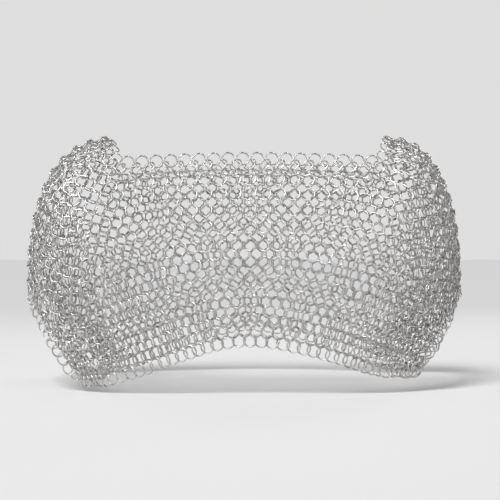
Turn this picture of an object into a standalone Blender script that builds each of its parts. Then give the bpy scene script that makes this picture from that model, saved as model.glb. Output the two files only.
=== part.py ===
"""Shoulder mantle of linked rings, draped as it hangs on its wearer.

A rectangular sheet of mail with a slot for the neck lies over both shoulders.
+X runs across the shoulders, the back faces -Y and +Z is up. The origin is on
top of the shoulders, in the middle of the neck opening.
"""
import bpy
import bmesh
import math
from mathutils import Matrix, Vector

# Rings
RING_BORE = 0.0111
WIRE = 0.0013
RING_RADIUS = (RING_BORE + WIRE) / 2
RING_REACH = RING_RADIUS + WIRE / 2

# Sheet of joined rings, one wire thick
SHEET = WIRE
SEAM = 0.0004
RING_GAP = 0.0005
FOLD_GAP = 0.00095
FOLD_LIFT = 0.0010
RIM_BITE = 0.0008
RING_LAP = 0.0009

# Drape over the shoulders
NECK_HALF = 0.1365
SLEEVE_REACH_LEFT = 0.2200
SLEEVE_REACH_RIGHT = 0.2080
SLEEVE_DROP = 0.1410
HEM_DROP = 0.1880
CORNER_DROP_LEFT = 0.2285
CORNER_DROP_RIGHT = 0.2195
CORNER_HALF_LEFT = 0.1600
CORNER_HALF_RIGHT = 0.1570
BACK_DEPTH = 0.1120
FRONT_DEPTH = 0.1080
HEM_TURN = 0.1900
RIDGE_POWER = 2.4
BODY_POWER = 2.1
TURN_POWER = 3.0
SAG_POWER = 1.9
HEM_EASE_SHARE = 0.75

# Where the sheet is divided, as shares of the way out and of the way down
NECK_SHARE = 0.385
SADDLE_SHARE = 0.330
SLEEVE_SHARE = 0.700
FOLD_HEM_SHARE = 0.720
FOLD_EDGE_SHARE = 0.640

# Free rings along the back of the neck
NECK_PITCH = 0.0138
FREE_RINGS = int(2 * (NECK_HALF - RING_REACH) / NECK_PITCH)
LINK_DROP = 0.0060
FREE_TILT = math.radians(6)
LINK_TILT = math.radians(30)
FREE_LEAN = math.radians(25)
HINGE_DROP = 0.0050
HINGE_LIFT = 0.0005
EDGE_TILT = math.radians(1)

# Resolution
CENTRE_CELLS = 8
SIDE_CELLS = 5
DOWN_CELLS = 9
SADDLE_CELLS = 8
RING_SIDES = 8
EDGE_WIRE_SIDES = 3
LINK_SIDES = 12
LINK_WIRE_SIDES = 4
ARC_STEPS = 240
STEP_SHARE = 0.002
FIT_ROUNDS = 6

WIRE_COLOUR = (0.80, 0.79, 0.77, 1.0)
PANEL_COLOUR = (0.62, 0.62, 0.61, 1.0)


BACK_WORDS = {1: "back", -1: "front"}
HAND_WORDS = {-1: "left", 1: "right"}

# The mail lies a little askew, so its two sides differ
SLEEVE_REACH = {-1: SLEEVE_REACH_LEFT, 1: SLEEVE_REACH_RIGHT}
CORNER_DROP = {-1: CORNER_DROP_LEFT, 1: CORNER_DROP_RIGHT}
CORNER_HALF = {-1: CORNER_HALF_LEFT, 1: CORNER_HALF_RIGHT}


# Scene and material

def clear_scene():
    for obj in list(bpy.data.objects):
        bpy.data.objects.remove(obj, do_unlink=True)


def metal(name, colour, roughness):
    """Bright drawn metal."""
    material = bpy.data.materials.new(name)
    material.use_nodes = True
    shader = material.node_tree.nodes["Principled BSDF"]
    shader.inputs["Base Color"].default_value = colour
    shader.inputs["Roughness"].default_value = roughness
    shader.inputs["Metallic"].default_value = 1.0
    return material


def add_object(name, mesh, roughness=0.30, colour=WIRE_COLOUR):
    """Object of one mesh in the mantle's collection, with its own metal."""
    mesh.name = name
    obj = bpy.data.objects.new(name, mesh)
    mesh.materials.clear()
    mesh.materials.append(metal(name, colour, roughness))
    mantle.objects.link(obj)
    return obj


# Shape of the drape

def rounded_arc(power, width, height):
    """Stations at even arc length on a rounded corner, as shares of its sides."""
    points = []
    for step in range(ARC_STEPS + 1):
        angle = math.pi / 2 * step / ARC_STEPS
        out = abs(math.sin(angle)) ** (2 / power)
        down = 1 - abs(math.cos(angle)) ** (2 / power)
        points.append((out, down))
    lengths = [0.0]
    for near, far in zip(points, points[1:]):
        run = (far[0] - near[0]) * width
        fall = (far[1] - near[1]) * height
        lengths.append(lengths[-1] + math.hypot(run, fall))
    return points, [length / lengths[-1] for length in lengths]


def along(arc, share):
    """Point of a rounded corner at a share of its length."""
    points, lengths = arc
    low = 0
    high = len(lengths) - 1
    while high - low > 1:
        middle = (low + high) // 2
        if lengths[middle] <= share:
            low = middle
        else:
            high = middle
    mix = (share - lengths[low]) / (lengths[high] - lengths[low])
    near, far = points[low], points[high]
    return near[0] + (far[0] - near[0]) * mix, near[1] + (far[1] - near[1]) * mix


ridge_arcs = {side: rounded_arc(RIDGE_POWER, reach - NECK_HALF, SLEEVE_DROP)
              for side, reach in SLEEVE_REACH.items()}
body_arc = rounded_arc(BODY_POWER, BACK_DEPTH, HEM_DROP)


def drape(across, down):
    """Point of the mail: across is -1 to 1 between the sleeve edges, down is 1 at
    the back hem, 0 on top of the shoulder and -1 at the front hem."""
    out = abs(across)
    fall = abs(down)
    side = 1 if across >= 0 else -1
    if out < NECK_SHARE:
        ridge = Vector((NECK_HALF * out / NECK_SHARE, 0))
    else:
        run, drop = along(ridge_arcs[side], (out - NECK_SHARE) / (1 - NECK_SHARE))
        reach = NECK_HALF + (SLEEVE_REACH[side] - NECK_HALF) * run
        ridge = Vector((reach, -SLEEVE_DROP * drop))
    width = out * (1 + HEM_EASE_SHARE - HEM_EASE_SHARE * out)
    hem_x = CORNER_HALF[side] * width
    sag = math.sin(math.pi / 2 * width) ** SAG_POWER
    hem_z = -HEM_DROP - (CORNER_DROP[side] - HEM_DROP) * sag
    depth = BACK_DEPTH if down >= 0 else FRONT_DEPTH
    hem_y = depth * (1 - (hem_x / HEM_TURN) ** TURN_POWER) ** (1 / TURN_POWER)
    reach, sink = along(body_arc, fall)
    x = ridge.x + (hem_x - ridge.x) * sink
    z = ridge.y + (hem_z - ridge.y) * sink
    return Vector((math.copysign(x, across), math.copysign(hem_y * reach, -down), z))


def frame_at(across, down):
    """Place on the mail with axes along +X, up towards the shoulder, and square to
    the sheet, outward at the back and inward at the front."""
    side = STEP_SHARE if across + STEP_SHARE <= 1 else -STEP_SHARE
    lower = STEP_SHARE if abs(down) + STEP_SHARE <= 1 else -STEP_SHARE
    back = 1 if down >= 0 else -1
    spot = drape(across, down)
    row = (drape(across + side, down) - spot) * math.copysign(1, side)
    column = (spot - drape(across, down + lower * back)) * math.copysign(1, lower)
    row.normalize()
    normal = row.cross(column).normalized()
    column = normal.cross(row).normalized()
    axes = Matrix((row, column, normal)).transposed().to_4x4()
    return Matrix.Translation(spot) @ axes


# Panels of mail

def panel_grid(across_range, down_range, cells):
    """Flat grid laid onto the drape, a seam's half width inside its limits."""
    bm = bmesh.new()
    bmesh.ops.create_grid(bm, x_segments=cells[0], y_segments=cells[1], size=1.0)
    corner = drape(across_range[1], down_range[1])
    width = (corner - drape(across_range[0], down_range[1])).length
    height = (corner - drape(across_range[1], down_range[0])).length
    seam_u = SEAM / 2 / width * (across_range[1] - across_range[0])
    seam_v = SEAM / 2 / height * (down_range[1] - down_range[0])
    for vert in bm.verts:
        share_u = (vert.co.x + 1) / 2
        share_v = (vert.co.y + 1) / 2
        low_u, high_u = across_range[0] + seam_u, across_range[1] - seam_u
        low_v, high_v = down_range[0] + seam_v, down_range[1] - seam_v
        across = low_u + (high_u - low_u) * share_u
        down = low_v + (high_v - low_v) * share_v
        vert.co = drape(max(-1, min(1, across)), max(-1, min(1, down)))
    return bm


def thicken(bm, name):
    """Solid panel from its middle surface."""
    bmesh.ops.recalc_face_normals(bm, faces=bm.faces)
    mesh = bpy.data.meshes.new(name)
    bm.to_mesh(mesh)
    bm.free()
    panel = add_object(name, mesh, 0.45, PANEL_COLOUR)
    solid = panel.modifiers.new("thickness", "SOLIDIFY")
    solid.thickness = SHEET
    solid.offset = 0.0
    return panel


def fold_of(side, back):
    """Corner fold: its two ends on hem and sleeve edge, its way in and outward."""
    hem = drape(side * FOLD_HEM_SHARE, back)
    edge = drape(side, back * FOLD_EDGE_SHARE)
    corner = drape(side, back)
    line = (edge - hem).normalized()
    outward = line.cross(corner - hem).normalized()
    outward *= math.copysign(1, -back * outward.y)
    to_corner = outward.cross(line)
    to_corner *= math.copysign(1, to_corner.dot(corner - hem))
    return hem, edge, to_corner


def fold_axis(side, back):
    """Empty on a corner's fold line, with +X along it and +Z outward."""
    hem, edge, to_corner = fold_of(side, back)
    line = (edge - hem).normalized()
    outward = line.cross(to_corner)
    line *= math.copysign(1, -back * outward.y)
    outward = line.cross(to_corner)
    spot = hem.lerp(edge, 1 / 2) + outward * FOLD_LIFT
    axis = bpy.data.objects.new("fold_%s_%s" % (BACK_WORDS[back], HAND_WORDS[side]), None)
    axes = Matrix((line, to_corner, outward)).transposed().to_4x4()
    axis.matrix_world = Matrix.Translation(spot) @ axes
    mantle.objects.link(axis)
    return axis


def hang(piece, axis):
    """Carry a piece on an empty without moving it."""
    piece.parent = axis
    piece.matrix_parent_inverse = axis.matrix_world.inverted()


def cut_at_fold(bm, side, back, keep_corner):
    """Cut a panel at a corner's fold line and keep one side of it."""
    hem, edge, to_corner = fold_of(side, back)
    shift = FOLD_GAP / 2 if keep_corner else -FOLD_GAP / 2
    arch = (edge.z + drape(side, 0).z) / 2
    faces = []
    for face in bm.faces:
        middle = face.calc_center_median()
        if back * middle.y < 0 and middle.z < arch:
            faces.append(face)
    edges = {edge for face in faces for edge in face.edges}
    verts = {vert for face in faces for vert in face.verts}
    geometry = list(verts) + list(edges) + faces
    bmesh.ops.bisect_plane(
        bm, geom=geometry, plane_co=hem + to_corner * shift, plane_no=to_corner,
        clear_inner=keep_corner, clear_outer=not keep_corner)


# Rings

def ring_mesh(sides):
    """One ring, flat about +Z and centred."""
    wire_sides = LINK_WIRE_SIDES if sides == LINK_SIDES else EDGE_WIRE_SIDES
    bpy.ops.mesh.primitive_torus_add(
        major_segments=sides, minor_segments=wire_sides,
        major_radius=RING_RADIUS, minor_radius=WIRE / 2, location=(0, 0, 0))
    ring = bpy.context.object
    mesh = ring.data
    bpy.data.objects.remove(ring)
    for face in mesh.polygons:
        face.use_smooth = True
    return mesh


def ring_set(name, places, sides):
    """Mesh of separate rings, one at each place."""
    bm = bmesh.new()
    template = ring_mesh(sides)
    for place in places:
        before = len(bm.verts)
        bm.from_mesh(template)
        bm.verts.ensure_lookup_table()
        bmesh.ops.transform(bm, matrix=place, verts=bm.verts[before:])
    mesh = bpy.data.meshes.new(name)
    bm.to_mesh(mesh)
    bm.free()
    bpy.data.meshes.remove(template)
    return mesh


def join_rings(obj, places, sides):
    """Join rings to an object where their wires meet."""
    name = obj.name + "_joined"
    rings = bpy.data.objects.new(name, ring_set(name, places, sides))
    cutters.objects.link(rings)
    rings.display_type = "WIRE"
    rings.hide_render = True
    union = obj.modifiers.new("rings", "BOOLEAN")
    union.operation = "UNION"
    union.solver = "EXACT"
    union.object = rings


def ring_row(name, places):
    """Row of rings side by side, joined where neighbours touch."""
    row = add_object(name, ring_set(name, places[::2], RING_SIDES))
    join_rings(row, places[1::2], RING_SIDES)
    return row


def tilted(place, angle):
    """Place turned about its column axis, as linked rings lean along their row."""
    return place @ Matrix.Rotation(angle, 4, "Y")


def edge_shares(centre, clear_start, clear_end):
    """Shares at even spacing along the line of ring centres, clear of both ends."""
    steps = [index / ARC_STEPS for index in range(ARC_STEPS + 1)]
    spots = [centre(step) for step in steps]
    lengths = [0.0]
    for near, far in zip(spots, spots[1:]):
        lengths.append(lengths[-1] + (far - near).length)
    usable = lengths[-1] - clear_start - clear_end
    pitch = 2 * RING_RADIUS - RING_LAP
    count = int((usable - 2 * RING_REACH) // pitch) + 1
    spare = usable - 2 * RING_REACH - (count - 1) * pitch
    first = clear_start + RING_REACH + spare / 2
    shares = []
    for index in range(count):
        target = first + index * pitch
        step = next(k for k, length in enumerate(lengths) if length >= target)
        mix = (target - lengths[step - 1]) / (lengths[step] - lengths[step - 1])
        shares.append(steps[step - 1] + (steps[step] - steps[step - 1]) * mix)
    return shares


def border_place(path, inward, share):
    """Place on a border with axes along it, out of the sheet's edge, and square."""
    near = path(max(0, share - STEP_SHARE))
    far = path(min(1, share + STEP_SHARE))
    spot = path(share)
    border = (far - near).normalized()
    out = spot - path(share, inward)
    out = (out - border * out.dot(border)).normalized()
    axes = Matrix((border, out, border.cross(out))).transposed().to_4x4()
    return Matrix.Translation(spot) @ axes


def border_rings(name, start, end, inward, clear_start=0.0, clear_end=0.0):
    """Rings side by side along a border between two places given as shares."""
    start, end = Vector(start), Vector(end)

    def path(share, step=(0, 0)):
        spot = start.lerp(end, share) + Vector(step) * STEP_SHARE
        return drape(spot.x, spot.y)

    def seat(share):
        place = border_place(path, inward, share)
        return place @ Matrix.Translation((0, RING_REACH + RING_GAP, 0))

    def centre(share):
        return seat(share).translation

    shares = edge_shares(centre, clear_start, clear_end)
    places = [tilted(seat(share), EDGE_TILT) for share in shares]
    return ring_row(name, places)


# Neck edge at the back

def neck_line(distance, lift):
    """Place beside the centre of the neck edge, lift above the back panel's rim."""
    across = distance / NECK_HALF * NECK_SHARE
    for _ in range(FIT_ROUNDS):
        reached = drape(across, SADDLE_SHARE).x
        across += (distance - reached) / NECK_HALF * NECK_SHARE
    rim = frame_at(across, SADDLE_SHARE)
    return rim @ Matrix.Translation((0, lift, 0))


def linked_rings():
    """Places of the ring row that the free rings pass through."""
    places = []
    for index in range(FREE_RINGS + 1):
        distance = (index - FREE_RINGS / 2) * NECK_PITCH
        place = neck_line(distance, RING_REACH - RIM_BITE)
        places.append(tilted(place, -LINK_TILT))
    return places


def free_ring(index):
    """Ring that stands free at the neck edge and turns where it is linked."""
    distance = (index + 1 / 2 - FREE_RINGS / 2) * NECK_PITCH
    lift = RING_REACH - RIM_BITE + LINK_DROP - HINGE_DROP
    axis = neck_line(distance, lift) @ Matrix.Translation((0, 0, HINGE_LIFT))
    mesh = ring_mesh(LINK_SIDES)
    centre = Matrix.Translation((0, HINGE_DROP, -HINGE_LIFT))
    lean = Matrix.Rotation(FREE_LEAN, 4, "X")
    mesh.transform(lean @ tilted(centre, FREE_TILT))
    ring = add_object("neck_back_ring_%02d" % (index + 1), mesh)
    ring.matrix_world = axis
    return ring


def neck_edge():
    for index in range(FREE_RINGS):
        free_ring(index)
    border_rings("neck_front_rings", (-NECK_SHARE, -SADDLE_SHARE), (NECK_SHARE, -SADDLE_SHARE),
                 (0, -1), 2 * RING_REACH, 2 * RING_REACH)
    for side, hand in HAND_WORDS.items():
        border_rings("neck_%s_rings" % hand, (side * NECK_SHARE, SADDLE_SHARE),
                     (side * NECK_SHARE, -SADDLE_SHARE), (side, 0),
                     4 * RING_REACH, RING_GAP)


# Panels and borders

def centre_panels():
    for back, word in BACK_WORDS.items():
        down = sorted((back * SADDLE_SHARE, back))
        centre = thicken(panel_grid((-NECK_SHARE, NECK_SHARE), down,
                                    (CENTRE_CELLS, DOWN_CELLS)), "%s_centre" % word)
        if back > 0:
            join_rings(centre, linked_rings(), LINK_SIDES)
        for side, hand in HAND_WORDS.items():
            across = sorted((side * NECK_SHARE, side * SLEEVE_SHARE))
            thicken(panel_grid(across, down, (SIDE_CELLS, DOWN_CELLS)),
                    "%s_%s" % (word, hand))


def shoulder_panels():
    for side, hand in HAND_WORDS.items():
        across = sorted((side * NECK_SHARE, side * SLEEVE_SHARE))
        thicken(panel_grid(across, (-SADDLE_SHARE, SADDLE_SHARE), (SIDE_CELLS, SADDLE_CELLS)),
                "shoulder_%s" % hand)


def sleeve_panels(folds):
    for side, hand in HAND_WORDS.items():
        across = sorted((side * SLEEVE_SHARE, side))
        cells = (SIDE_CELLS, 2 * DOWN_CELLS + SADDLE_CELLS)
        sleeve = panel_grid(across, (-1, 1), cells)
        for back, word in BACK_WORDS.items():
            cut_at_fold(sleeve, side, back, False)
            corner_down = sorted((back * FOLD_EDGE_SHARE, back))
            corner = panel_grid(across, corner_down, (SIDE_CELLS, SIDE_CELLS))
            cut_at_fold(corner, side, back, True)
            hang(thicken(corner, "corner_%s_%s" % (word, hand)), folds[side, back])
        thicken(sleeve, "sleeve_%s" % hand)


def hem_and_sleeve_edges(folds):
    for back, word in BACK_WORDS.items():
        up = (0, -back)
        border_rings("hem_%s_rings" % word, (-FOLD_HEM_SHARE, back), (FOLD_HEM_SHARE, back),
                     up, RING_GAP, RING_GAP)
        for side, hand in HAND_WORDS.items():
            corner = (side, back)
            name = "corner_%s_%s" % (word, hand)
            hem = border_rings(name + "_hem_rings", (side * FOLD_HEM_SHARE, back), corner,
                               up, RING_GAP)
            edge = border_rings(name + "_edge_rings", (side, back * FOLD_EDGE_SHARE), corner,
                                (-side, 0), RING_GAP)
            hang(hem, folds[side, back])
            hang(edge, folds[side, back])
    for side, hand in HAND_WORDS.items():
        border_rings("sleeve_%s_rings" % hand, (side, FOLD_EDGE_SHARE), (side, -FOLD_EDGE_SHARE),
                     (-side, 0), RING_GAP, RING_GAP)


clear_scene()
mantle = bpy.data.collections.new("mail_mantle")
cutters = bpy.data.collections.new("cutters")
bpy.context.scene.collection.children.link(mantle)
bpy.context.scene.collection.children.link(cutters)
centre_panels()
shoulder_panels()
corner_folds = {(side, back): fold_axis(side, back) for side in HAND_WORDS for back in BACK_WORDS}
sleeve_panels(corner_folds)
neck_edge()
hem_and_sleeve_edges(corner_folds)
print("pieces:", sum(obj.type == "MESH" for obj in mantle.objects))
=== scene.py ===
# %% [markdown]
# # A shoulder mantle of linked rings
# Mail looks like cloth from a distance, but nothing in it is woven: it is more than two
# thousand separate wire rings, and each passes through four others. Here every ring is
# really there, bent from its own wire, and nearly all of them pass through their
# neighbours. First the solid parts are loaded, which give the size and say which piece
# moves with which.

import math

import bpy
import numpy as np
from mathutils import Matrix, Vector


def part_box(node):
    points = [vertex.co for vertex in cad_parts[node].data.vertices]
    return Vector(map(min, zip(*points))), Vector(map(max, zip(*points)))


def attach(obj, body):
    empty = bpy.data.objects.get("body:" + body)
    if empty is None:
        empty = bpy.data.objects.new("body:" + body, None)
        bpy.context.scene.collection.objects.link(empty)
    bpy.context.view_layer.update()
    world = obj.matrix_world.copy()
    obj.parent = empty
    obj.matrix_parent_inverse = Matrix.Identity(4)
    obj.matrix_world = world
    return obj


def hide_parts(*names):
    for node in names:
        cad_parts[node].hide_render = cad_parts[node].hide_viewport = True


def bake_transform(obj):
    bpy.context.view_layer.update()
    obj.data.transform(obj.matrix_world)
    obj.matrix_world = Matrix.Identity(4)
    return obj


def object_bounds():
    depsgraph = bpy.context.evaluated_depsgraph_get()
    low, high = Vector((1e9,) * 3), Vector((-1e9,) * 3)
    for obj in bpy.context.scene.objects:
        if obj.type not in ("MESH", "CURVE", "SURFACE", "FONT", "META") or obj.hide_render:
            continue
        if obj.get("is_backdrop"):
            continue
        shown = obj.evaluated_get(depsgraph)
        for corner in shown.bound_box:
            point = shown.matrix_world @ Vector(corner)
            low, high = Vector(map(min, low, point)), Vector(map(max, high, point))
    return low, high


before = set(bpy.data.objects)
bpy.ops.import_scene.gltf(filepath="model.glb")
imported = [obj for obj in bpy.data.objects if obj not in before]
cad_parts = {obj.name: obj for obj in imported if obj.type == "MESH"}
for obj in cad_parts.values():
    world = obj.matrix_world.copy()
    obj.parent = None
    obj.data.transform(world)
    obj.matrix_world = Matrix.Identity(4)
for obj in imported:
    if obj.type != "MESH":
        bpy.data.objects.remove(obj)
solid_box = [[float(value) for value in corner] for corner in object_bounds()]
print("solid parts:", len(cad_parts), "box:", solid_box)

# %% [markdown]
# The sizes are those of the solid parts, in metres. A ring has a bore of 11.1 mm and is
# bent from 1.3 mm wire, so two linked rings can lie up to one bore apart, measured
# between centres. The rest is the drape: how far the sleeves and the hem reach, how deep
# the back and the front are, and where the neck, the shoulders and the folds lie, as
# shares of the way across or down.

# %% Sizes
MM = 1000
RING_BORE = 0.0111
WIRE = 0.0013
RING_RADIUS = (RING_BORE + WIRE) / 2
RING_REACH = RING_RADIUS + WIRE / 2
EDGE_PLAY = 0.0005
LIP = RING_REACH + EDGE_PLAY
NECK_HALF = 0.1365
SLEEVE_REACH = {-1: 0.2200, 1: 0.2080}
SLEEVE_DROP = 0.1410
HEM_DROP = 0.1880
CORNER_DROP = {-1: 0.2285, 1: 0.2195}
CORNER_HALF = {-1: 0.1600, 1: 0.1570}
BACK_DEPTH = 0.1120
FRONT_DEPTH = 0.1080
HEM_TURN = 0.1900
RIDGE_POWER, BODY_POWER, TURN_POWER, SAG_POWER = 2.4, 2.1, 3.0, 1.9
HEM_EASE = 0.75
NECK_SHARE, SADDLE_SHARE, SLEEVE_SHARE = 0.385, 0.330, 0.700
FOLD_HEM_SHARE, FOLD_EDGE_SHARE = 0.720, 0.640
FREE_RINGS = 18
NECK_PITCH = 0.0138
print("ring outside diameter: %.1f mm" % (RING_REACH * 2 * MM))

# %% [markdown]
# The stage is a plain pale floor, a little below the lowest ring. It is one plane, moved
# by its corners, and it is not part of the mantle.

# %% Floor
FLOOR_SIZE = 30
FLOOR_GAP = 0.004
FLOOR_COLOUR = (0.77, 0.765, 0.765, 1)
FLOOR_ROUGHNESS = 0.9


def material(name):
    """New material with nodes."""
    made = bpy.data.materials.new(name)
    made.use_nodes = True
    return made


bpy.ops.object.select_all(action="DESELECT")
bpy.ops.mesh.primitive_plane_add(size=FLOOR_SIZE, location=(0, 0, 0))
floor = bpy.context.object
floor.name = "floor"
for corner in floor.data.vertices:
    corner.co.z = solid_box[0][2] - FLOOR_GAP
floor.data.materials.append(material("pale_floor"))
floor_shader = floor.data.materials[0].node_tree.nodes["Principled BSDF"]
floor_shader.inputs["Base Color"].default_value = FLOOR_COLOUR
floor_shader.inputs["Roughness"].default_value = FLOOR_ROUGHNESS
floor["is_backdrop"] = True
print("floor at %.1f mm" % (floor.data.vertices[0].co.z * MM))

# %% [markdown]
# One broad soft light from high on the left lights everything evenly. Metal shows only
# what it mirrors, so four round lamps stand around the mantle too. Each wire mirrors one
# or two of them as a bright streak. Their beams are narrowed, so that less of their light
# falls on the floor around the mantle.

# %% Lamps
LAMP_SIZE = 1.1
LAMP_SPREAD = math.radians(60)
LAMPS = {
    "lamp_back_left": ((-1.3, -1.5, 0.45), 1.6),
    "lamp_back_right": ((1.4, -1.4, 0.40), 0.6),
    "lamp_front_left": ((-1.4, 1.4, 0.40), 0.8),
    "lamp_front_right": ((1.3, 1.5, 0.45), 1.2)}
LIT_POINT = np.array([0, 0, -0.11])
BROAD_POWER = 2.35
BROAD_WIDTH = math.radians(24)
BROAD_TILT, BROAD_TURN = math.radians(34), math.radians(-32)


def lamp(name, place, power):
    """Round lamp that looks at the mantle."""
    light = bpy.data.lights.new(name, "AREA")
    light.shape = "DISK"
    light.size = LAMP_SIZE
    light.spread = LAMP_SPREAD
    light.energy = power
    made = bpy.data.objects.new(name, light)
    made.location = place
    aim = LIT_POINT - np.array(place)
    made.rotation_euler = (math.atan2(math.hypot(aim[0], aim[1]), -aim[2]), 0,
                           math.atan2(aim[1], aim[0]) - math.pi / 2)
    bpy.context.scene.collection.objects.link(made)


for name, (place, power) in LAMPS.items():
    lamp(name, place, power)
broad = bpy.data.lights.new("broad_light", "SUN")
broad.energy = BROAD_POWER
broad.angle = BROAD_WIDTH
broad_light = bpy.data.objects.new("broad_light", broad)
broad_light.rotation_euler = (BROAD_TILT, 0, BROAD_TURN)
bpy.context.scene.collection.objects.link(broad_light)

# %% [markdown]
# The camera stands level behind the mantle, at the photograph's distance and angle. The
# picture is shown without a film curve, so that pale tones stay pale and the bright
# streaks on the wire stay crisp.

# %% Camera
LENS = 86.09
SENSOR_WIDTH = 36
CAMERA_PLACE = (0, -1.21, -0.1125)

camera = bpy.data.objects.new("camera", bpy.data.cameras.new("camera"))
camera.data.lens = LENS
camera.data.sensor_width = SENSOR_WIDTH
camera.location = CAMERA_PLACE
camera.rotation_euler = (math.pi / 2, 0, 0)
bpy.context.scene.collection.objects.link(camera)
bpy.context.scene.camera = camera
bpy.context.scene.view_settings.view_transform = "Standard"
print("camera:", [round(value, 4) for value in camera.location])

# %% [markdown]
# Shader arithmetic reads best as arithmetic. This small class wraps a socket, so that
# `1 - mask` adds the Math node that works it out. Every other node comes from its one
# method `node`, which is given the settings first and then the sockets.

# %% Shader arithmetic
class Flow:
    """A node socket that takes part in Python expressions."""

    def __init__(self, tree, socket):
        self.tree = tree
        self.socket = socket

    @classmethod
    def node(cls, tree, kind, settings, sockets, output=0):
        """New node with its settings and its sockets, which are values or links."""
        made = tree.nodes.new(kind)
        for name, value in settings.items():
            setattr(made, name, value)
        for name, value in sockets.items():
            if isinstance(value, cls):
                tree.links.new(value.socket, made.inputs[name])
            else:
                made.inputs[name].default_value = value
        return cls(tree, made.outputs[output])

    def math(self, operation, first, second):
        """Math node of two values or sockets."""
        return Flow.node(self.tree, "ShaderNodeMath", {"operation": operation},
                         {0: first, 1: second})

    def __add__(self, other):
        return self.math("ADD", self, other)

    def __rsub__(self, other):
        return self.math("SUBTRACT", other, self)

    def __mul__(self, other):
        return self.math("MULTIPLY", self, other)

    __radd__ = __add__


def mix_colours(tree, share, low, high):
    """Colour between two colours."""
    return Flow.node(tree, "ShaderNodeMix", {"data_type": "RGBA"},
                     {0: share, 6: low, 7: high}, output=2)


# %% [markdown]
# Around the stage lies a room. The camera sees a plain pale backdrop. What the wires
# mirror is darker: a dim room with a paler ceiling, so that each wire has a dark outline
# against the pale backdrop.

# %% Backdrop and room
BACKDROP = (0.74, 0.735, 0.735, 1)
DIM_ROOM = (0.04, 0.04, 0.045, 1)
CEILING = (0.40, 0.40, 0.41, 1)
CEILING_START, CEILING_FULL = 0.30, 0.80


def build_room():
    """World of a pale backdrop, and for mirrored light a dim room with a ceiling."""
    world = bpy.data.worlds.new("studio")
    bpy.context.scene.world = world
    world.use_nodes = True
    tree = world.node_tree
    way = Flow.node(tree, "ShaderNodeTexCoord", {}, {})
    height = Flow.node(tree, "ShaderNodeSeparateXYZ", {}, {0: way}, output=2)
    overhead = Flow.node(tree, "ShaderNodeMapRange", {"interpolation_type": "SMOOTHSTEP"},
                         {0: height, 1: CEILING_START, 2: CEILING_FULL})
    room = mix_colours(tree, overhead, DIM_ROOM, CEILING)
    seen = Flow.node(tree, "ShaderNodeLightPath", {}, {})
    shade = mix_colours(tree, seen, room, BACKDROP)
    tree.links.new(shade.socket, tree.nodes["Background"].inputs["Color"])
    tree.nodes["Background"].inputs["Strength"].default_value = 1.0


build_room()
print("room nodes:", len(bpy.context.scene.world.node_tree.nodes))

# %% [markdown]
# The drape of the whole sheet is one smooth surface. `across` runs from -1 at the left
# sleeve edge to 1 at the right one, and `down` from -1 at the front hem over the shoulder
# at 0 to 1 at the back hem. The ridge over the shoulders and the fall of the back are
# rounded corners of known width and height, and the hem lies in a curve below.
# The surface is worked out for all rings at once, as numpy arrays.

# %% The surface that the rings lie on
STATIONS = 400
TINY = 1e-12


def rounded_corner(power, width, height):
    """Even stations on a rounded corner, with their shares of its width and height."""
    angle = np.linspace(0, np.pi / 2, STATIONS)
    out = np.abs(np.sin(angle)) ** (2 / power)
    fall = 1 - np.abs(np.cos(angle)) ** (2 / power)
    steps = np.hypot(np.diff(out) * width, np.diff(fall) * height)
    length = np.concatenate([[0], np.cumsum(steps)])
    return length / length[-1], out, fall, length[-1]


ridges = {side: rounded_corner(RIDGE_POWER, reach - NECK_HALF, SLEEVE_DROP)
          for side, reach in SLEEVE_REACH.items()}
body = rounded_corner(BODY_POWER, BACK_DEPTH, HEM_DROP)


def by_side(across, sizes):
    """Size of the left side where across is negative, and else of the right side."""
    return np.where(across < 0, sizes[-1], sizes[1])


def sheet_point(across, down):
    """Point of the sheet inside its edges."""
    out, fall = np.abs(across), np.abs(down)
    way = np.clip((out - NECK_SHARE) / (1 - NECK_SHARE), 0, 1)
    run = np.where(across < 0, np.interp(way, ridges[-1][0], ridges[-1][1]),
                   np.interp(way, ridges[1][0], ridges[1][1]))
    drop = np.where(across < 0, np.interp(way, ridges[-1][0], ridges[-1][2]),
                    np.interp(way, ridges[1][0], ridges[1][2]))
    beyond_neck = NECK_HALF + (by_side(across, SLEEVE_REACH) - NECK_HALF) * run
    ridge_x = np.where(out < NECK_SHARE, NECK_HALF * out / NECK_SHARE, beyond_neck)
    ridge_z = np.where(out < NECK_SHARE, 0.0, -SLEEVE_DROP * drop)
    width = out * (1 + HEM_EASE - HEM_EASE * out)
    hem_x = by_side(across, CORNER_HALF) * width
    sag = np.sin(np.pi / 2 * width) ** SAG_POWER
    hem_z = -HEM_DROP - (by_side(across, CORNER_DROP) - HEM_DROP) * sag
    depth = np.where(down >= 0, BACK_DEPTH, FRONT_DEPTH)
    hem_y = depth * (1 - (hem_x / HEM_TURN) ** TURN_POWER) ** (1 / TURN_POWER)
    reach = np.interp(fall, body[0], body[1])
    sink = np.interp(fall, body[0], body[2])
    x = ridge_x + (hem_x - ridge_x) * sink
    z = ridge_z + (hem_z - ridge_z) * sink
    return np.stack([np.where(across < 0, -x, x), -np.sign(down) * hem_y * reach, z], -1)


def unit(vectors):
    """Vectors of the same direction and length 1."""
    return vectors / (np.linalg.norm(vectors, axis=-1, keepdims=True) + TINY)


def dot(first, second):
    """Dot product of each pair of vectors."""
    return (first * second).sum(-1)


print("length from shoulder to hem: %.0f mm" % (body[3] * MM))

# %% [markdown]
# The last rings of each border hang out past the sheet's edge by half a ring. There the
# surface is carried on straight, square to the edge, and a share of 1 past the edge
# stands for `BEYOND` metres.

# %% The surface past its edges
BEYOND = 0.2
NUDGE = 0.004
SLOPE_STEP = 0.0015


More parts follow.
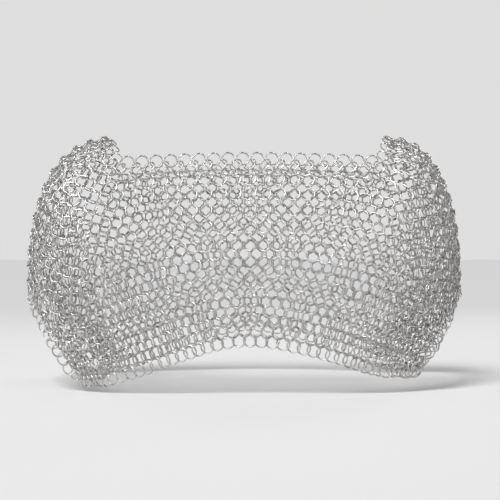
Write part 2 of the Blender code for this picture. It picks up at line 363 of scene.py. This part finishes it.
def past_edge(point, across, down, over, along):
    """Straight way on past an edge, square to the edge's own direction."""
    inner = sheet_point(across - over[0], down - over[1])
    near = sheet_point(np.clip(across - along[0], -1, 1), np.clip(down - along[1], -1, 1))
    far = sheet_point(np.clip(across + along[0], -1, 1), np.clip(down + along[1], -1, 1))
    edge = unit(far - near)
    way = point - inner
    return unit(way - edge * dot(way, edge)[:, None])


def mail_point(across, down):
    """Point of the mail, also for shares a little past the edges."""
    inside_across, inside_down = np.clip(across, -1, 1), np.clip(down, -1, 1)
    point = sheet_point(inside_across, inside_down)
    base = point.copy()
    wide = np.abs(across) > 1
    low = np.abs(down) > 1
    if wide.any():
        side = np.sign(across[wide])
        way = past_edge(base[wide], inside_across[wide], inside_down[wide],
                        (side * NUDGE, 0 * side), (0, NUDGE))
        point[wide] += way * ((np.abs(across[wide]) - 1) * BEYOND)[:, None]
    if low.any():
        side = np.sign(down[low])
        way = past_edge(base[low], inside_across[low], inside_down[low],
                        (0 * side, side * NUDGE), (NUDGE, 0))
        point[low] += way * ((np.abs(down[low]) - 1) * BEYOND)[:, None]
    return point


def slopes(across, down):
    """Rates of change of the mail's points with across and with down."""
    wide = mail_point(across + SLOPE_STEP, down) - mail_point(across - SLOPE_STEP, down)
    long = mail_point(across, down + SLOPE_STEP) - mail_point(across, down - SLOPE_STEP)
    return wide / (2 * SLOPE_STEP), long / (2 * SLOPE_STEP)


edge_share = 1 + LIP / BEYOND
print("border rings at share %.3f" % edge_share)

# %% [markdown]
# Now the weave. In the common four-in-one weave the rings lie in rows, each row half a
# ring aside from the next, and a ring is linked with two rings of the row above and two
# of the row below. So a ring is known by its row and its column, where every other row
# stands on half columns. The neck is a slot in the middle where rows are left out.

# %% Which ring is linked with which
SLOT_ROWS = 10
HEM_ROW = 31
LAST_COLUMN = 21
EDGE_COLUMN = LAST_COLUMN + 0.5
SLOT_COLUMN = (FREE_RINGS + 1) / 2

rings = {}
for row in range(-HEM_ROW, HEM_ROW + 1):
    count = 2 * LAST_COLUMN + 1 + (row + SLOT_ROWS + 1) % 2
    for place in range(count):
        column = place - (count - 1) / 2
        if abs(row) >= SLOT_ROWS or abs(column) > FREE_RINGS / 2:
            rings[row, column] = len(rings)
ring_row = np.array([key[0] for key in rings])
ring_column = np.array([key[1] for key in rings])
ring_out = np.abs(ring_column)
on_half = ring_row % 2 == SLOT_ROWS % 2


def pairs(row_step, column_step):
    """Pairs of rings a step apart, in two sets so that no ring comes twice in one."""
    found = [[], []]
    for (row, column), ring in rings.items():
        other = rings.get((row + row_step, column + column_step))
        if other is not None:
            turn = row // row_step if row_step else math.floor(column)
            found[turn % 2].append((ring, other))
    return [np.array(half) for half in found]


links = pairs(1, 0.5) + pairs(1, -0.5)
beside = pairs(0, 1)
below = pairs(2, 0)
print("rings:", len(rings), "links:", sum(len(half) for half in links))

# %% [markdown]
# A rule says roughly where each ring is. The photograph gives it: over the shoulder the
# rows and the columns are even, and down the back the rows lie wider apart and the
# columns crowd towards the loose corners. The free rings at the neck and the rings that
# carry them stand where the solid parts have them.

# %% Where the rings begin
RIM_BITE = 0.0008
LINK_DROP = 0.0060
FIT_ROUNDS = 6
ROW_GROWTH = 1.12
HEM_CROWDING = 0.46
MIDDLE_WIDENING = 0.07

free = (np.abs(ring_row) == SLOT_ROWS) & (ring_out < FREE_RINGS / 2)
carriers = (np.abs(ring_row) == SLOT_ROWS + 1) & (ring_out <= FREE_RINGS / 2)
slot_side = (np.abs(ring_row) <= SLOT_ROWS) & (ring_out == SLOT_COLUMN)
hem = np.abs(ring_row) == HEM_ROW
sleeve_edge = ring_out == EDGE_COLUMN
neck_rows = free | carriers
carrier_share = SADDLE_SHARE - (RING_REACH - RIM_BITE) / body[3]
free_share = carrier_share - LINK_DROP / body[3]


def neck_share(distance):
    """Share across at which the neck's rim is a distance from the middle."""
    share = distance / NECK_HALF * NECK_SHARE
    for _ in range(FIT_ROUNDS):
        reached = sheet_point(share, np.full(share.shape, SADDLE_SHARE))[:, 0]
        share = share + (distance - reached) / NECK_HALF * NECK_SHARE
    return share


def first_down():
    """Rows evenly over the shoulder, then slowly wider apart towards the hem."""
    rows = np.abs(ring_row)
    fall = np.maximum(rows - SLOT_ROWS, 0) / (HEM_ROW - SLOT_ROWS)
    neck_height = np.interp(free_share, body[0], body[2])
    height = neck_height + (1 + LIP / HEM_DROP - neck_height) * fall ** ROW_GROWTH
    share = np.interp(height, body[2], body[0])
    share = share + np.maximum(height - 1, 0) * HEM_DROP / BEYOND
    return np.sign(ring_row) * np.where(rows < SLOT_ROWS, rows / SLOT_ROWS * free_share, share)


def first_across():
    """Columns even along the shoulder, and crowded towards the corners at the hem."""
    inside = neck_share(np.minimum(ring_out, SLOT_COLUMN) * NECK_PITCH)
    past = np.maximum(ring_out - SLOT_COLUMN, 0) / (EDGE_COLUMN - SLOT_COLUMN)
    top = inside * (1 - past) + edge_share * past
    share = ring_out / EDGE_COLUMN
    wanted = share * (1 + HEM_CROWDING - HEM_CROWDING * share)
    root = np.sqrt((1 + HEM_EASE) ** 2 - 4 * HEM_EASE * wanted)
    low = (1 + HEM_EASE - root) / (2 * HEM_EASE) * edge_share
    way = np.clip((np.abs(down) - free_share) / (1 - free_share), 0, 1)
    widened = 1 + MIDDLE_WIDENING * np.sin(math.pi * way) * (1 - past)
    return np.sign(ring_column) * (top * widened + (low - top) * way ** 2)


down = first_down()
across = first_across()
across[neck_rows] = neck_share(ring_column[neck_rows] * NECK_PITCH)
down[free] = np.sign(ring_row[free]) * free_share
down[carriers] = np.sign(ring_row[carriers]) * carrier_share
held_across = neck_rows | sleeve_edge | slot_side
held_down = neck_rows | hem
print("free rings:", int((free & (ring_row > 0)).sum()), "carriers:",
      int((carriers & (ring_row > 0)).sum()))

# %% [markdown]
# Then weight and links pull the rings to their places. In small steps each ring sinks,
# pairs that are too far apart or too close are moved back, and all are put back onto the
# surface. The border rings stay on their borders. Nothing here is a physics engine: a few
# hundred passes of plain arithmetic give the same drape each time.

# %% Let the rings hang
SINK = 0.00001
SINK_SHARE = 0.85
LINK_PLAY = 0.0001
LONGEST_LINK = RING_BORE - LINK_PLAY
SHORTEST_LINK = 0.0060
CLOSEST_BESIDE, WIDEST_BESIDE = 0.0055, 0.0205
CLOSEST_BELOW, WIDEST_BELOW = 0.0090, 0.0220
PULLS_PER_ROUND = 3
NEIGHBOUR_PULL = 0.7
MOST_ACROSS, MOST_DOWN = 0.012, 0.03
LEAST_SPREAD = 1e-15
HANG_ROUNDS, QUICK_ROUNDS = 300, 40
widest, lowest = edge_share - 0.015, edge_share - 0.024


def bring_within(points, halves, least, most, share):
    """Move pairs that are too close or too far apart."""
    for half in halves:
        gap = points[half[:, 1]] - points[half[:, 0]]
        length = np.linalg.norm(gap, axis=1)
        wanted = np.clip(length, least, most)
        move = gap * ((length - wanted) / length * share / 2)[:, None]
        points[half[:, 0]] += move
        points[half[:, 1]] -= move


def hang(across, down, rounds):
    """Settle the rings' shares on the surface under their own weight."""
    fixed_across, fixed_down = across[held_across], down[held_down]
    for turn in range(rounds):
        points = mail_point(across, down)
        points[:, 2] -= SINK * max(0, 1 - turn / rounds / SINK_SHARE)
        for _ in range(PULLS_PER_ROUND):
            bring_within(points, links, SHORTEST_LINK, LONGEST_LINK, 1.0)
            bring_within(points, beside, CLOSEST_BESIDE, WIDEST_BESIDE, NEIGHBOUR_PULL)
            bring_within(points, below, CLOSEST_BELOW, WIDEST_BELOW, NEIGHBOUR_PULL)
        # The shares whose point on the surface is nearest to where each ring was moved
        wide, long = slopes(across, down)
        move = points - mail_point(across, down)
        a, b, c = dot(wide, wide), dot(wide, long), dot(long, long)
        p, q = dot(move, wide), dot(move, long)
        spread = a * c - b * b + LEAST_SPREAD
        across = across + np.clip((c * p - b * q) / spread, -MOST_ACROSS, MOST_ACROSS)
        down = down + np.clip((a * q - b * p) / spread, -MOST_DOWN, MOST_DOWN)
        across = np.clip(across, -widest, widest)
        down = np.clip(down, -lowest, lowest)
        across[held_across] = fixed_across
        down[held_down] = fixed_down
    return across, down


across, down = hang(across, down, HANG_ROUNDS)
centre = mail_point(across, down)
all_links = np.concatenate(links)
link_length = np.linalg.norm(centre[all_links[:, 1]] - centre[all_links[:, 0]], axis=1)
print("link length, median and longest: %.1f and %.1f mm" % (
    np.median(link_length) * MM, link_length.max() * MM))

# %% [markdown]
# Linked rings can't lie quite flat: the rings of one row lean one way about their column
# and those of the next row lean the other way. Seen square on, two linked rings cross at
# the two ends of a chord, and the lean must lift one wire over the other at one end and
# under it at the other. Rings that crowd in a row are stacked, and then a lean also has
# to keep a wire's thickness between them. Hand-made mail is never quite even, so each
# ring also leans a degree or so at random.
#
# The free rings can swing over and lie on the back. The rings that they would meet there
# stand a little further in, with their upper edges tucked under. That costs most of the
# links of this one row: its rings lie against the rows beside it, out of their bores.

# %% How each ring leans
LINK_LEAN = math.radians(30)
LIFT = WIRE * 1.12
LEAST_COLUMN_HALF = 0.003
STEEPEST_SINE = 0.5
LEAN_JITTER, TIP_JITTER = math.radians(1.2), math.radians(1.5)
TUCK, TUCK_DEPTH = math.radians(21), 0.0009
SEED = 11


def mean_spacing(halves):
    """Mean distance of each ring to its neighbours of one kind."""
    total, count = np.zeros(len(rings)), np.zeros(len(rings))
    for half in halves:
        length = np.linalg.norm(centre[half[:, 1]] - centre[half[:, 0]], axis=1)
        for end in (0, 1):
            np.add.at(total, half[:, end], length)
            np.add.at(count, half[:, end], 1)
    return total / np.maximum(count, 1)


random = np.random.default_rng(SEED)
wide, long = slopes(across, down)
column_way = unit(-long)
outward = unit(np.cross(unit(wide), column_way))
row_way = np.cross(column_way, outward)
row_half, column_half = mean_spacing(beside) / 2, mean_spacing(below) / 2
linked = np.minimum(np.hypot(row_half, column_half), LONGEST_LINK)
chord_half = np.sqrt(RING_RADIUS ** 2 - linked ** 2 / 4)
lean = np.arctan(LIFT * linked / (2 * chord_half * np.maximum(column_half, LEAST_COLUMN_HALF)))
lean = np.maximum(lean, np.arcsin(np.clip(LIFT / (2 * row_half), 0, STEEPEST_SINE)))
lean = np.minimum(lean, LINK_LEAN) + random.normal(0, LEAN_JITTER, len(rings))
lean = np.where(on_half, lean, -lean)
lean[carriers] = -LINK_LEAN
tip = random.normal(0, TIP_JITTER, len(rings))
tip[neck_rows] = 0
tucked = (np.abs(ring_row) == SLOT_ROWS + 2) & (np.abs(across) < NECK_SHARE)
tip[tucked] = TUCK
centre[tucked] -= outward[tucked] * TUCK_DEPTH
normal = row_way * np.sin(lean)[:, None] + outward * np.cos(lean)[:, None]
normal = unit(normal + column_way * np.tan(tip)[:, None])
print("lean of the rings, median: %.0f degrees" % math.degrees(np.median(np.abs(lean))))

# %% [markdown]
# The free rings and the rings that carry them follow the solid parts exactly, because
# the free rings swing there. A carrier stands half a ring above the panel's rim. In real
# mail a free ring passes through two carriers and turns about the line between them. Here
# it passes through the one on its left and stands close beside the one on its right.

# %% The rings at the back of the neck
STEP = 0.002
FREE_TILT = math.radians(6)
FREE_LEAN = math.radians(25)
HINGE_DROP = 0.0050
HINGE_LIFT = 0.0005


def turn_matrix(axis, angle):
    """Turn about X or Y."""
    c, s = math.cos(angle), math.sin(angle)
    if axis == "X":
        return np.array([[1, 0, 0], [0, c, -s], [0, s, c]])
    return np.array([[c, 0, s], [0, 1, 0], [-s, 0, c]])


def neck_frame(distance):
    """Rim of the back panel beside its middle, and its axes as columns."""
    share = neck_share(np.array([distance]))
    rim = np.array([SADDLE_SHARE])
    spot = sheet_point(share, rim)[0]
    along = unit(sheet_point(share + STEP, rim)[0] - spot)
    up = spot - sheet_point(share, rim + STEP)[0]
    square = unit(np.cross(along, up))
    return spot, np.stack([along, np.cross(square, along), square], 1)


def neck_ring(distance, is_free):
    """Centre of a ring at the neck, and its axes as columns."""
    spot, axes = neck_frame(distance)
    if not is_free:
        place = spot + axes[:, 1] * (RING_REACH - RIM_BITE)
        return place, axes @ turn_matrix("Y", -LINK_LEAN)
    hinge = spot + axes[:, 1] * (RING_REACH - RIM_BITE + LINK_DROP - HINGE_DROP)
    hinge = hinge + axes[:, 2] * HINGE_LIFT
    axes = axes @ turn_matrix("X", FREE_LEAN)
    place = hinge + axes @ np.array([0, HINGE_DROP, -HINGE_LIFT])
    return place, axes @ turn_matrix("Y", FREE_TILT)


neck_back = neck_rows & (ring_row > 0)
for ring in np.flatnonzero(neck_back):
    place, axes = neck_ring(ring_column[ring] * NECK_PITCH, free[ring])
    centre[ring] = place
    normal[ring] = axes[:, 2]
low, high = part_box("neck_back_ring_09")
middle = centre[rings[SLOT_ROWS, -0.5]]
print("free ring 9 off its solid by %.2f mm" % (
    MM * np.linalg.norm(middle - (np.array(low) + np.array(high)) / 2)))

# %% [markdown]
# Last, the wires should not run through each other. To see where they do, the nearest
# two points of the wires of two rings are looked for: along one ring in even steps, and
# then to and fro between the two rings until both points lie still. Only pairs of rings
# whose centres are close need that.

# %% Where two wires are nearest
NEAR_MARGIN = 0.001
SAMPLES = 20
REFINE_ROUNDS = 4
BLOCK = 400
FAR = 9.0


def ring_axes(normals):
    """Two axes in each ring's plane, the second near the column's direction."""
    first = unit(np.cross(column_way, normals))
    return first, np.cross(normals, first)


def nearest_on_ring(points, centres, normals):
    """Nearest point of each ring's wire to a point."""
    arm = points - centres
    flat = unit(arm - normals * dot(arm, normals)[:, None])
    return centres + flat * RING_RADIUS


def close_pairs(reach):
    """Pairs of rings whose centres are near."""
    found = []
    for start in range(0, len(rings), BLOCK):
        gap = np.linalg.norm(centre[start:start + BLOCK, None] - centre[None], axis=2)
        first, second = np.nonzero(gap < reach)
        keep = first + start < second
        found.append(np.stack([first[keep] + start, second[keep]], 1))
    return np.concatenate(found)


def nearest_points(near):
    """Nearest points of the wires of two rings, for each pair of rings."""
    first, second = near[:, 0], near[:, 1]
    side, up = ring_axes(normal)
    best = np.full(len(near), FAR)
    spot = np.zeros((len(near), 3))
    for step in range(SAMPLES):
        angle = 2 * math.pi * step / SAMPLES
        wire = centre + RING_RADIUS * (side * math.cos(angle) + up * math.sin(angle))
        points = wire[first]
        gap = np.linalg.norm(
            points - nearest_on_ring(points, centre[second], normal[second]), axis=1)
        closer = gap < best
        best[closer] = gap[closer]
        spot[closer] = points[closer]
    for _ in range(REFINE_ROUNDS):
        other = nearest_on_ring(spot, centre[second], normal[second])
        spot = nearest_on_ring(other, centre[first], normal[first])
    return spot, nearest_on_ring(spot, centre[second], normal[second])


near = close_pairs(2 * RING_REACH + NEAR_MARGIN)
print("close pairs of rings:", len(near))

# %% [markdown]
# Where two wires are nearer than a wire's thickness, both rings are pushed apart: a little
# aside and a little round, as free rings would go. In each pass every ring is also drawn
# softly back to where it hung. The rings at the back of the neck stay where they are. In
# so dense a net not every pair comes free, so those that still touch are counted.

# %% Let the wires find their places
WIRE_PLAY = 0.0002
CLEAR = WIRE + WIRE_PLAY
TOUCHING = WIRE * 0.98
MASS_OF_TWO = 2.0
MOST_PUSHES = 1.6
PULL_BACK = 0.01
SETTLE_ROUNDS = 90


def settle(near, rounds):
    """Push wires that touch apart."""
    rest_centre, rest_normal = centre.copy(), normal.copy()
    inertia = RING_RADIUS ** 2 / 2
    for _ in range(rounds):
        spot, other = nearest_points(near)
        gap = np.linalg.norm(spot - other, axis=1)
        tight = gap < CLEAR
        pair, way = near[tight], unit(spot - other)[tight]
        push = (CLEAR - gap)[tight]
        torque, weight = [], np.full(len(pair), MASS_OF_TWO)
        for end, point, sign in ((0, spot, 1), (1, other, -1)):
            ring = pair[:, end]
            twist = sign * np.cross(point[tight] - centre[ring], way)
            twist = twist - normal[ring] * dot(twist, normal[ring])[:, None]
            torque.append(twist)
            weight += dot(twist, twist) / inertia
        size = (push / weight)[:, None]
        shift, spin = np.zeros_like(centre), np.zeros_like(centre)
        count = np.zeros(len(rings))
        for end, sign in ((0, 1), (1, -1)):
            np.add.at(shift, pair[:, end], sign * size * way)
            np.add.at(spin, pair[:, end], size * torque[end] / inertia)
            np.add.at(count, pair[:, end], 1)
        ease = (MOST_PUSHES / np.maximum(count, MOST_PUSHES))[:, None]
        ease[neck_back] = 0
        centre[:] += shift * ease + (rest_centre - centre) * PULL_BACK
        normal[:] = unit(normal + np.cross(spin, normal) * ease
                         + (rest_normal - normal) * PULL_BACK)


settle(near, SETTLE_ROUNDS)
spot, other = nearest_points(near)
gap = np.linalg.norm(spot - other, axis=1)
moved = np.linalg.norm(centre - mail_point(across, down), axis=1)
print("wires that still touch:", int((gap < TOUCHING).sum()),
      "closest: %.2f mm" % (gap.min() * MM),
      "moved, median: %.2f mm" % (np.median(moved) * MM))

# %% [markdown]
# One ring is modelled and copied. It is made as a mail maker makes it: a straight wire is
# wound round and cut, and its two ends meet in a butt joint. Here the wire's section is
# spun round the ring's centre and stops just short of a full turn. Four sides are enough
# for the wire, because it is little more than a millimetre thick and is shaded smooth,
# and there are thousands of rings. Four corners on the true circle would look too thin,
# so they stand a little outside it. One ring of the photographed back gapes open.

# %% One ring
WIRE_SIDES = 4
RING_STEPS = 14
ROUNDER = 1.14
CLOSED_MOUTH, OPEN_MOUTH = 0.00012, 0.0026
FIRST_ANGLE, END_ANGLE = 0.01, 0.05


def bend_ring(name, mouth):
    """Ring of wire whose ends are mouth apart, flat about +Z."""
    bpy.ops.object.select_all(action="DESELECT")
    bpy.ops.mesh.primitive_circle_add(
        vertices=WIRE_SIDES, radius=WIRE / 2 * ROUNDER, fill_type="NGON",
        location=(RING_RADIUS, 0, 0), rotation=(math.pi / 2, 0, 0))
    ring = bpy.context.object
    ring.name = name
    bpy.ops.object.mode_set(mode="EDIT")
    bpy.ops.mesh.select_all(action="SELECT")
    bpy.ops.mesh.spin(steps=RING_STEPS, angle=2 * math.pi - mouth / RING_RADIUS,
                      center=(0, 0, 0), axis=(0, 0, 1))
    bpy.ops.mesh.select_all(action="SELECT")
    bpy.ops.mesh.normals_make_consistent(inside=False)
    bpy.ops.object.mode_set(mode="OBJECT")
    bpy.ops.object.transform_apply(location=True, rotation=True, scale=True)
    bpy.ops.object.shade_smooth()
    points = np.array([vertex.co[:] for vertex in ring.data.vertices])
    faces = np.array([face.vertices[:] for face in ring.data.polygons])
    bpy.data.objects.remove(ring, do_unlink=True)
    return points, faces


def end_marks(points, faces):
    """Which points lie on the two cut ends, and which faces are those ends."""
    # The first end lies at angle zero, and a little more keeps it from being a full turn
    angle = np.mod(np.arctan2(points[:, 1], points[:, 0]) + FIRST_ANGLE, 2 * math.pi)
    at_end = (angle < END_ANGLE) | (angle > angle.max() - END_ANGLE)
    cut = np.ptp(angle[faces], axis=1) < END_ANGLE
    return at_end.astype(float), cut & at_end[faces].all(axis=1)


closed_ring = bend_ring("closed_ring", CLOSED_MOUTH)
open_ring = bend_ring("open_ring", OPEN_MOUTH)
print("faces of a ring:", len(closed_ring[1]),
      "cut ends:", int(end_marks(*closed_ring)[1].sum()))

# %% [markdown]
# The rings are bright drawn aluminium, tumbled but not polished. Drawing leaves fine
# lines and handling leaves dull patches, so the brightness, the gloss and the surface
# vary: from ring to ring with the value `tone` that each ring carries, within a ring with
# a soft cloud of noise, and the grey of the cut ends with the value `cut`.

# %% Drawn wire
CLOUD = {"Scale": 130.0, "Detail": 3.0, "Roughness": 0.6}
GRAIN = {"Scale": 1500.0, "Detail": 4.0, "Roughness": 0.7}
WORN_FROM, WORN_TO = 0.42, 0.72
TONE_DULLS, WORN_DULLS, CUT_DULLS = 0.45, 0.40, 0.35
SMOOTHEST, TONE_ROUGH, WORN_ROUGH, GRAIN_ROUGH = 0.22, 0.10, 0.14, 0.06
BUMP_STRENGTH, GRAIN_DEPTH, CLOUD_HEIGHT = 0.22, 0.00012, 0.5


def wire_metal(name, bright, dull):
    """Bare wire between a bright and a dull tone."""
    metal = material(name)
    tree = metal.node_tree
    shader = tree.nodes["Principled BSDF"]
    shader.inputs["Metallic"].default_value = 1.0
    place = Flow.node(tree, "ShaderNodeTexCoord", {}, {}, output=3)
    tone = Flow.node(tree, "ShaderNodeAttribute", {"attribute_name": "tone"}, {}, output=2)
    cut = Flow.node(tree, "ShaderNodeAttribute", {"attribute_name": "cut"}, {}, output=2)
    cloud = Flow.node(tree, "ShaderNodeTexNoise", {}, {"Vector": place, **CLOUD})
    grain = Flow.node(tree, "ShaderNodeTexNoise", {}, {"Vector": place, **GRAIN})
    worn = Flow.node(tree, "ShaderNodeMapRange", {}, {0: cloud, 1: WORN_FROM, 2: WORN_TO})
    share = tone * TONE_DULLS + worn * WORN_DULLS + cut * CUT_DULLS
    colour = mix_colours(tree, share, bright, dull)
    rough = SMOOTHEST + tone * TONE_ROUGH + worn * WORN_ROUGH + (1 - grain) * GRAIN_ROUGH
    bump = Flow.node(tree, "ShaderNodeBump", {},
                     {"Strength": BUMP_STRENGTH, "Distance": GRAIN_DEPTH,
                      "Height": grain + cloud * CLOUD_HEIGHT})
    tree.links.new(colour.socket, shader.inputs["Base Color"])
    tree.links.new(rough.socket, shader.inputs["Roughness"])
    tree.links.new(bump.socket, shader.inputs["Normal"])
    return metal


mail_metal = wire_metal("drawn_wire", (0.74, 0.73, 0.72, 1), (0.32, 0.31, 0.30, 1))
border_metal = wire_metal("border_wire", (0.75, 0.75, 0.73, 1), (0.34, 0.33, 0.32, 1))
neck_metal = wire_metal("neck_wire", (0.76, 0.75, 0.74, 1), (0.36, 0.35, 0.34, 1))
print("metals:", mail_metal.name, border_metal.name, neck_metal.name)

# %% [markdown]
# Rings that move together make one piece with a mesh of its own. A piece takes a list of
# rings and copies the one ring to each place, turned so that its butt joint lies anywhere,
# because nobody lines them up. The points are copied as arrays: thousands of copies made
# and joined by operators, one by one, would take very long.

# %% Copies of the ring
FREE_JOINT_ANGLE = math.pi / 2
OPEN_JOINT_ANGLE = 0.3
OPEN_PLACE = np.array([0.001, -BACK_DEPTH, -0.120])
TONE_SPREAD = (1.6, 2.6)

joint_angle = random.uniform(0, 2 * math.pi, len(rings))
joint_angle[free & (ring_row > 0)] = FREE_JOINT_ANGLE
ring_tone = random.beta(*TONE_SPREAD, len(rings))
opened = int(np.argmin(np.linalg.norm(centre - OPEN_PLACE, axis=1)))
joint_angle[opened] = OPEN_JOINT_ANGLE
print("open ring at:", [round(float(value), 3) for value in centre[opened]])


def copy_rings(name, chosen, metal):
    """Piece made of the chosen rings."""
    side, up = ring_axes(normal)
    places, faces, smooth, tones, cuts = [], [], [], [], []
    start = 0
    for ring in chosen:
        points, sides = open_ring if ring == opened else closed_ring
        at_end, cut = end_marks(points, sides)
        c, s = math.cos(joint_angle[ring]), math.sin(joint_angle[ring])
        first = side[ring] * c + up[ring] * s
        second = up[ring] * c - side[ring] * s
        axes = np.stack([first, second, normal[ring]])
        places.append(points @ axes + centre[ring])
        faces.append(sides + start)
        smooth.append(~cut)
        tones.append(np.full(len(points), ring_tone[ring]))
        cuts.append(at_end)
        start += len(points)
    mesh = bpy.data.meshes.new(name)
    mesh.from_pydata(np.concatenate(places).tolist(), [], np.concatenate(faces).tolist())
    mesh.polygons.foreach_set("use_smooth", np.concatenate(smooth))
    for label, values in (("tone", tones), ("cut", cuts)):
        mark = mesh.attributes.new(label, "FLOAT", "POINT")
        mark.data.foreach_set("value", np.concatenate(values).astype(np.float32))
    mesh.materials.append(metal)
    mesh.update()
    piece = bpy.data.objects.new(name, mesh)
    bpy.context.scene.collection.objects.link(piece)
    return piece


# %% [markdown]
# The loose corners turn about a fold. The solid parts have a straight cut there, but real
# mail has none: the rings next to the fold are linked across it. So each fold gets a band
# of rings of its own, between the part that stays and the part that turns.

# %% The four folds
BAND_START, BAND_END = 0.009, 0.005
FOLD_MARGIN = 0.012
FOLD_OUT_SHARE, FOLD_FALL_SHARE = 0.6, 0.5
BACKS = {1: "back", -1: "front"}
HANDS = {-1: "left", 1: "right"}


def fold_of(side, back):
    """Middle of a corner's fold, half its length, its way and the way to the corner."""
    hem_end, edge_end, corner = sheet_point(
        np.array([side * FOLD_HEM_SHARE, side, side], float),
        np.array([back, back * FOLD_EDGE_SHARE, back], float))
    line = unit(edge_end - hem_end)
    square = unit(np.cross(line, corner - hem_end))
    to_corner = np.cross(square, line)
    to_corner = to_corner * np.sign(to_corner @ (corner - hem_end))
    return (hem_end + edge_end) / 2, np.linalg.norm(edge_end - hem_end) / 2, line, to_corner


out, fall = np.abs(across), np.abs(down)
owner = np.full(len(rings), "mantle", dtype=object)
for side, hand in HANDS.items():
    for back, word in BACKS.items():
        middle, half_length, line, to_corner = fold_of(side, back)
        beyond = (centre - middle) @ to_corner
        along = np.abs((centre - middle) @ line)
        here = (np.sign(ring_column) == side) & (np.sign(ring_row) == back)
        here = here & (along < half_length + FOLD_MARGIN)
        here = here & (out > FOLD_OUT_SHARE) & (fall > FOLD_FALL_SHARE)
        name = "corner_%s_%s" % (word, hand)
        owner[here & (beyond > -BAND_START - RING_REACH)] = "fold_" + name
        owner[here & (beyond > BAND_END + RING_REACH)] = name
        turning = np.flatnonzero(owner == "fold_" + name)
        band = copy_rings("mail_fold_%s_%s" % (word, hand), turning, mail_metal)
        tuple(middle - to_corner * BAND_START)
        tuple(middle + to_corner * BAND_END)
        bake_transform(band)
        print(band.name, len(turning), "rings")

# %% [markdown]
# The panels are only names for regions of one sheet: the middle of the back and of the
# chest, the flanks beside them, the shoulders and the sleeve caps. Each ring belongs to
# the solid panel that it stands over.

# %% The panels
border = hem | sleeve_edge | slot_side | free
region = np.full(len(rings), "", dtype=object)
for side, hand in HANDS.items():
    on_side = np.sign(across) == side
    region[on_side & (out > SLEEVE_SHARE)] = "sleeve_" + hand
    flank = on_side & (out > NECK_SHARE) & (out <= SLEEVE_SHARE)
    region[flank] = "shoulder_" + hand
    for back, word in BACKS.items():
        region[flank & (back * down > SADDLE_SHARE)] = word + "_" + hand
for back, word in BACKS.items():
    region[(out <= NECK_SHARE) & (np.sign(ring_row) == back)] = word + "_centre"
    region[carriers & (np.sign(ring_row) == back)] = word + "_centre"
for name in sorted(set(region)):
    chosen = np.flatnonzero((region == name) & (owner == "mantle") & ~border)
    panel = copy_rings("mail_" + name, chosen, mail_metal)
    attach(panel, "mantle")
    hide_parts(name)
    print(panel.name, len(chosen), "rings")

# %% [markdown]
# The loose corners carry their own panels, hem rings and sleeve edge rings, and ride on
# the bodies that turn.

# %% The loose corners
for side, hand in HANDS.items():
    for back, word in BACKS.items():
        name = "corner_%s_%s" % (word, hand)
        on_corner = owner == name
        for ending, mask, metal, slot in (
                ("", on_corner & ~border, mail_metal, "mail"),
                ("_hem_rings", on_corner & hem, border_metal, "edge_rings"),
                ("_edge_rings", on_corner & sleeve_edge & ~hem, border_metal, "edge_rings")):
            piece = copy_rings("mail_" + name + ending, np.flatnonzero(mask), metal)
            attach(piece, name)
            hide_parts(name + ending)
            print(piece.name, int(mask.sum()), "rings")

# %% [markdown]
# The borders are the last rings of the sheet. They are linked on one side only, so they
# hang a little freer, and the eye follows them as an outline.

# %% Hems, sleeve edges and neck edges
on_mantle = owner == "mantle"
borders = {
    "hem_back_rings": hem & (ring_row > 0),
    "hem_front_rings": hem & (ring_row < 0),
    "sleeve_left_rings": sleeve_edge & (ring_column < 0) & ~hem,
    "sleeve_right_rings": sleeve_edge & (ring_column > 0) & ~hem,
    "neck_left_rings": slot_side & (ring_column < 0),
    "neck_right_rings": slot_side & (ring_column > 0),
    "neck_front_rings": free & (ring_row < 0)}
for name, mask in borders.items():
    chosen = np.flatnonzero(mask & on_mantle)
    piece = copy_rings("mail_" + name, chosen, border_metal)
    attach(piece, "mantle")
    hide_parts(name)
    print(piece.name, len(chosen), "rings")

# %% [markdown]
# Along the back of the neck the last row stands free. Each of these rings is linked with
# only two others, so it is a piece of its own that swings where it is linked.

# %% Free rings at the neck
free_back = sorted(np.flatnonzero(free & (ring_row > 0)), key=lambda ring: ring_column[ring])
for number, ring in enumerate(free_back, 1):
    name = "neck_back_ring_%02d" % number
    piece = copy_rings("mail_" + name, [ring], neck_metal)
    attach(piece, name)
    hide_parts(name)
print("free rings:", len(free_back))

# %% [markdown]
# At the end the box of the mail is printed beside the box of the solid parts.

# %% The size of the mail
mail_box = [[float(value) for value in corner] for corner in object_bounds()]
for label, box in (("solid parts", solid_box), ("mail", mail_box)):
    print(label, ["%.1f" % ((high - low) * MM) for low, high in zip(*box)], "mm")
